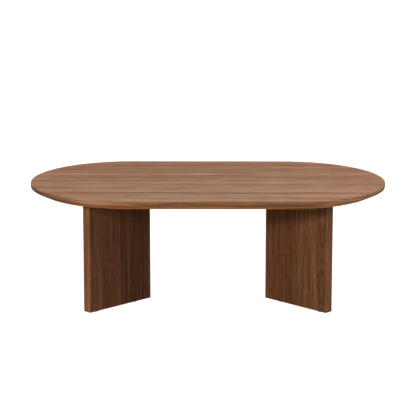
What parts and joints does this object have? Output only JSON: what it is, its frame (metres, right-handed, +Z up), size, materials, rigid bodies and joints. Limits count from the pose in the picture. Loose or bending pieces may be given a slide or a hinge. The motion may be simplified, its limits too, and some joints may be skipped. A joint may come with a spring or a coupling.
{
  "type": "coffee table",
  "caption": "Oval walnut-veneered coffee table with straight sides, half-round ends, a reverse-bevelled edge and V-shaped mitred panel legs.",
  "frame": {"origin": "on the floor under the centre of the top", "axes": "+X along the table's length, to the right as seen from the front; -Y to the front; +Z up"},
  "size_m": [1.1998, 0.67, 0.413],
  "materials": {
    "walnut_face": "satin lacquer",
    "walnut_edge": "satin lacquer",
    "walnut_backing": "thin matt lacquer",
    "walnut_leg": "satin lacquer",
    "walnut_leg_end": "satin lacquer",
    "core_board": "raw fibreboard",
    "birch_ply": "raw plywood",
    "beech": "raw fluted beech",
    "black_steel": "black powder coat",
    "zinc_steel": "bright zinc plate",
    "insert_brass": "turned brass",
    "brown_nylon": "moulded nylon"
  },
  "bodies": {
    "root": {"top_core": "core_board", "top_face_veneer": "walnut_face", "top_back_veneer": "walnut_backing", "top_lipping_front": "walnut_edge", "top_lipping_back": "walnut_edge", "top_lipping_left": "walnut_edge", "top_lipping_right": "walnut_edge", "left_leg_front_core": "core_board", "left_leg_front_inner_veneer": "walnut_leg", "left_leg_front_outer_veneer": "walnut_leg", "left_leg_front_end_lipping": "walnut_leg_end", "left_leg_rear_core": "core_board", "left_leg_rear_inner_veneer": "walnut_leg", "left_leg_rear_outer_veneer": "walnut_leg", "left_leg_rear_end_lipping": "walnut_leg_end", "left_leg_mitre_spline": "birch_ply", "left_mounting_plate": "black_steel", "left_plate_screws": "zinc_steel", "left_bolt_washers": "zinc_steel", "left_plate_bolts": "zinc_steel", "left_threaded_inserts": "insert_brass", "left_alignment_dowels": "beech", "left_leg_glides": "brown_nylon", "left_glide_nails": "zinc_steel", "right_leg_front_core": "core_board", "right_leg_front_inner_veneer": "walnut_leg", "right_leg_front_outer_veneer": "walnut_leg", "right_leg_front_end_lipping": "walnut_leg_end", "right_leg_rear_core": "core_board", "right_leg_rear_inner_veneer": "walnut_leg", "right_leg_rear_outer_veneer": "walnut_leg", "right_leg_rear_end_lipping": "walnut_leg_end", "right_leg_mitre_spline": "birch_ply", "right_mounting_plate": "black_steel", "right_plate_screws": "zinc_steel", "right_bolt_washers": "zinc_steel", "right_plate_bolts": "zinc_steel", "right_threaded_inserts": "insert_brass", "right_alignment_dowels": "beech", "right_leg_glides": "brown_nylon", "right_glide_nails": "zinc_steel"}
  },
  "joints": []
}
